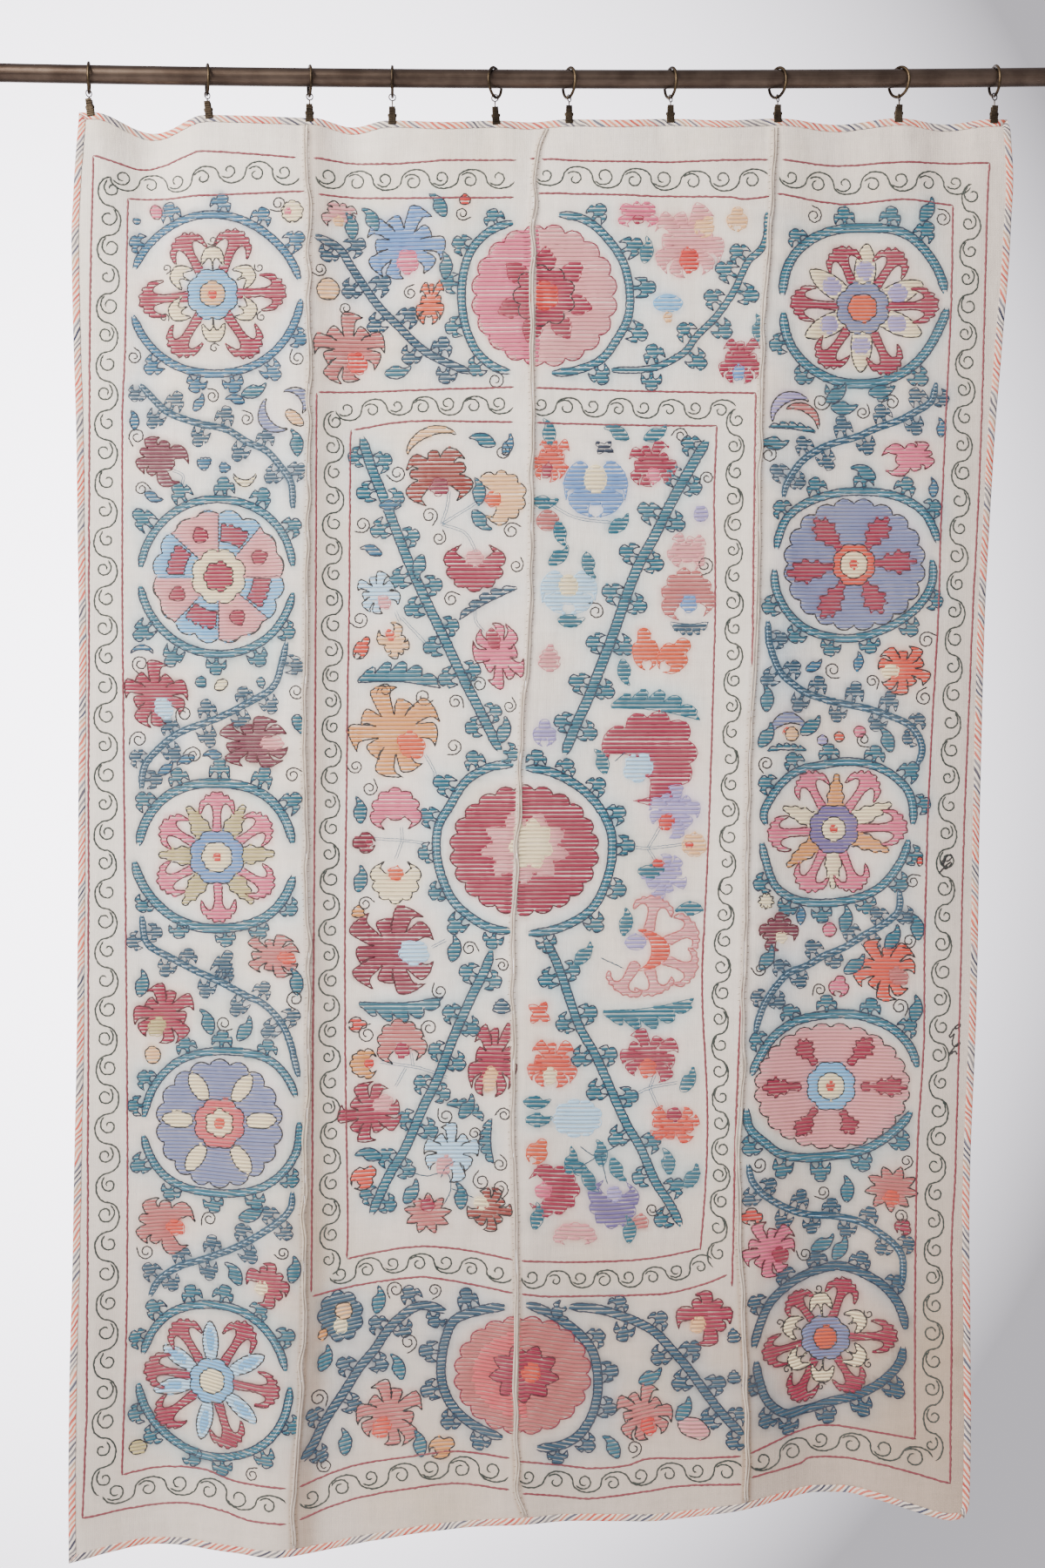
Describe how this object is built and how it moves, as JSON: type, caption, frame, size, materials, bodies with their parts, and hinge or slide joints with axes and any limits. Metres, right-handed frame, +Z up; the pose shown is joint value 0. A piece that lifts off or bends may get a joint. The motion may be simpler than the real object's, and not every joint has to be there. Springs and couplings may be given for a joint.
{
  "type": "suzani embroidered textile with its curtain rod and clip rings",
  "caption": "Embroidered cotton wall cloth of sewn hand-loomed strips with a bound edge, hung from a curtain rod by rings with clips; decorates a wall or screens a doorway.",
  "frame": {"origin": "on the curtain rod's axis, above the middle of the cloth", "axes": "+X along the rod to the right, seen from the embroidered side; +Y back towards the wall; +Z up"},
  "size_m": [1.56, 0.0495, 2.0616],
  "materials": {
    "rod_bronze": "brushed, dark antique bronze",
    "antique_brass": "satin, aged",
    "clip_bronze": "satin, dark",
    "handloom_cotton": "slubby plain weave with silk embroidery",
    "striped_tape": "bias-cut striped cotton"
  },
  "bodies": {
    "root": {"rod": "rod_bronze", "ring_01": "antique_brass", "eye_01": "antique_brass", "clip_01": "clip_bronze", "ring_02": "antique_brass", "eye_02": "antique_brass", "clip_02": "clip_bronze", "ring_03": "antique_brass", "eye_03": "antique_brass", "clip_03": "clip_bronze", "ring_04": "antique_brass", "eye_04": "antique_brass", "clip_04": "clip_bronze", "ring_05": "antique_brass", "eye_05": "antique_brass", "clip_05": "clip_bronze", "ring_06": "antique_brass", "eye_06": "antique_brass", "clip_06": "clip_bronze", "ring_07": "antique_brass", "eye_07": "antique_brass", "clip_07": "clip_bronze", "ring_08": "antique_brass", "eye_08": "antique_brass", "clip_08": "clip_bronze", "ring_09": "antique_brass", "eye_09": "antique_brass", "clip_09": "clip_bronze", "ring_10": "antique_brass", "eye_10": "antique_brass", "clip_10": "clip_bronze", "panel_1": "handloom_cotton", "panel_2": "handloom_cotton", "panel_3": "handloom_cotton", "panel_4": "handloom_cotton", "binding_top": "striped_tape", "binding_bottom": "striped_tape", "binding_left": "striped_tape", "binding_right": "striped_tape"}
  },
  "joints": []
}
